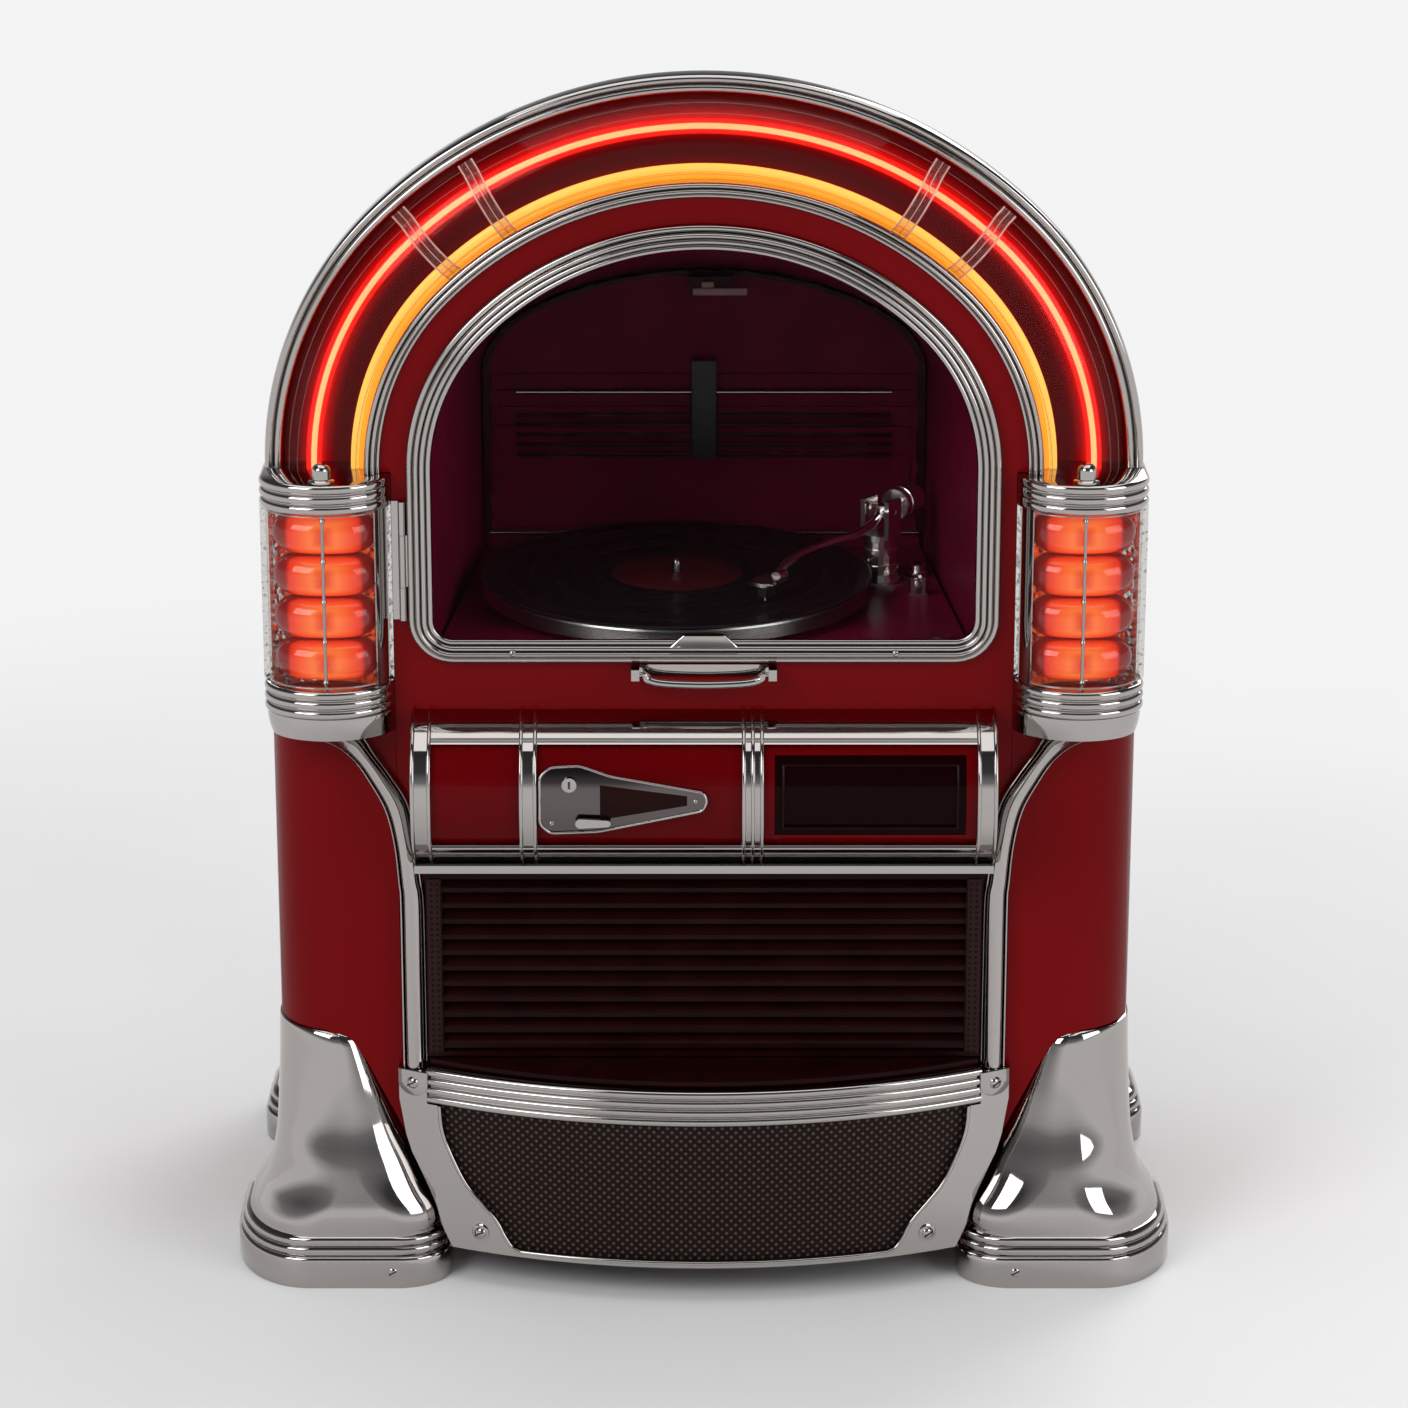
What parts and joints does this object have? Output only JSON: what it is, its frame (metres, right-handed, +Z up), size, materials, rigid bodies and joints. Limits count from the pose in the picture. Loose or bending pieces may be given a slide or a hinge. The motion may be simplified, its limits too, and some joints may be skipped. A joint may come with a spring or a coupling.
{
  "type": "arch-topped jukebox",
  "caption": "Arch-topped tabletop jukebox with lit neon arch and lamp columns, hinged window over a record turntable, curved selector panel, grilles and chrome feet.",
  "frame": {"origin": "centre of the footprint, on the surface that the feet stand on", "axes": "+Z up, the front faces -Y, +X to the viewer's right"},
  "size_m": [0.722, 0.448, 0.92],
  "materials": {
    "crimson_lacquer": "crimson gloss lacquer over plywood",
    "chrome": "polished chrome plate",
    "cast_foot": "polished chrome on a casting",
    "arm_chrome": "polished chrome plate",
    "black_board": "black stained board",
    "tray_black": "dark red paint",
    "arch_cover_clear": "clear moulded plastic",
    "column_clear": "clear moulded plastic",
    "reflector": "textured bright plate",
    "lamp_red": "glowing orange-red glass",
    "neon_red": "glowing neon red glass",
    "neon_amber": "glowing amber glass",
    "burgundy": "satin burgundy paint",
    "window_glass": "clear glass",
    "display_glass": "dark red tinted plastic",
    "louvre_black": "very dark red-brown",
    "mesh": "dark woven bronze mesh",
    "vinyl": "black grooved disc with a dark red label",
    "platter_metal": "turned aluminium with a black mat",
    "motor_steel": "plain plated steel",
    "woofer_black": "black cone and basket",
    "inlet_black": "black plastic"
  },
  "bodies": {
    "cabinet": {"amber_neon_tube": "neon_amber", "amplifier": "motor_steel", "apron_frame": "chrome", "arch_inner_trim": "chrome", "arch_light_cover": "arch_cover_clear", "arch_light_tray": "tray_black", "arch_outer_trim": "chrome", "back_panel": "black_board", "bow_band": "chrome", "cabinet_shell": "crimson_lacquer", "column_cover_left": "column_clear", "column_cover_right": "column_clear", "column_reflector_left": "reflector", "column_reflector_right": "reflector", "compartment_liner": "burgundy", "display_window": "display_glass", "dome_nut_left": "chrome", "dome_nut_right": "chrome", "door_hinge": "chrome", "escutcheon": "chrome", "front_left_foot": "cast_foot", "front_panel": "crimson_lacquer", "front_right_foot": "cast_foot", "handle_bracket": "chrome", "lamp_stack_left": "lamp_red", "lamp_stack_right": "lamp_red", "left_cheek": "crimson_lacquer", "louvre_grille": "louvre_black", "lower_collar_left": "chrome", "lower_collar_right": "chrome", "mesh_grille": "mesh", "platter_motor": "motor_steel", "power_inlet": "inlet_black", "rear_arch_trim": "chrome", "rear_left_foot": "cast_foot", "rear_right_foot": "cast_foot", "rear_wall": "burgundy", "red_neon_tube": "neon_red", "right_cheek": "crimson_lacquer", "selector_body": "crimson_lacquer", "selector_frame": "chrome", "side_moulding_left": "chrome", "side_moulding_right": "chrome", "tonearm_base": "arm_chrome", "turntable_deck": "burgundy", "turntable_shelf": "black_board", "upper_collar_left": "chrome", "upper_collar_right": "chrome", "woofer": "woofer_black"},
    "door": {"door_frame": "chrome", "door_glass": "window_glass"},
    "handle": {"pull_handle": "chrome"},
    "lock": {"lock_cylinder": "chrome"},
    "lever": {"thumb_lever": "chrome"},
    "turntable": {"platter": "platter_metal", "record": "vinyl"},
    "arm_yoke": {"tonearm_gimbal": "arm_chrome"},
    "arm": {"tonearm": "arm_chrome"},
    "button": {"start_button": "arm_chrome"},
    "cue": {"cue_lever": "arm_chrome"}
  },
  "joints": [
    {"name": "door_swing", "type": "hinge", "parent": "cabinet", "child": "door", "pos_m": [-0.2212, -0.1642, 0.565], "axis": [0, 0, -1], "range_deg": [0, 80]},
    {"name": "handle_pull", "type": "hinge", "parent": "cabinet", "child": "handle", "pos_m": [0, -0.174, 0.481], "axis": [-1, 0, 0], "range_deg": [0, 50]},
    {"name": "lock_turn", "type": "hinge", "parent": "cabinet", "child": "lock", "pos_m": [-0.099, -0.2132, 0.408], "axis": [0, 1, 0], "range_deg": [0, 90]},
    {"name": "lever_turn", "type": "hinge", "parent": "cabinet", "child": "lever", "pos_m": [-0.091, -0.2132, 0.3795], "axis": [0, 1, 0], "range_deg": [-20, 20]},
    {"name": "platter_spin", "type": "hinge", "parent": "cabinet", "child": "turntable", "pos_m": [-0.021, 0.005, 0.4905], "axis": [0, 0, -1], "continuous": true},
    {"name": "arm_swing", "type": "hinge", "parent": "cabinet", "child": "arm_yoke", "pos_m": [0.138, 0.055, 0.545], "axis": [0, 0, 1], "range_deg": [-17, 32]},
    {"name": "arm_lift", "type": "hinge", "parent": "arm_yoke", "child": "arm", "pos_m": [0.138, 0.055, 0.545], "axis": [-0.8207, 0.5714, 0], "range_deg": [0, 16]},
    {"name": "button_press", "type": "slide", "parent": "cabinet", "child": "button", "axis": [0, 0, -1], "range_m": [0, 0.002], "stiffness_N_per_m": 600, "springref_m": -0.001},
    {"name": "cue_turn", "type": "hinge", "parent": "cabinet", "child": "cue", "pos_m": [0.166, 0.0148, 0.4993], "axis": [1, 0, 0], "range_deg": [-20, 15]}
  ]
}
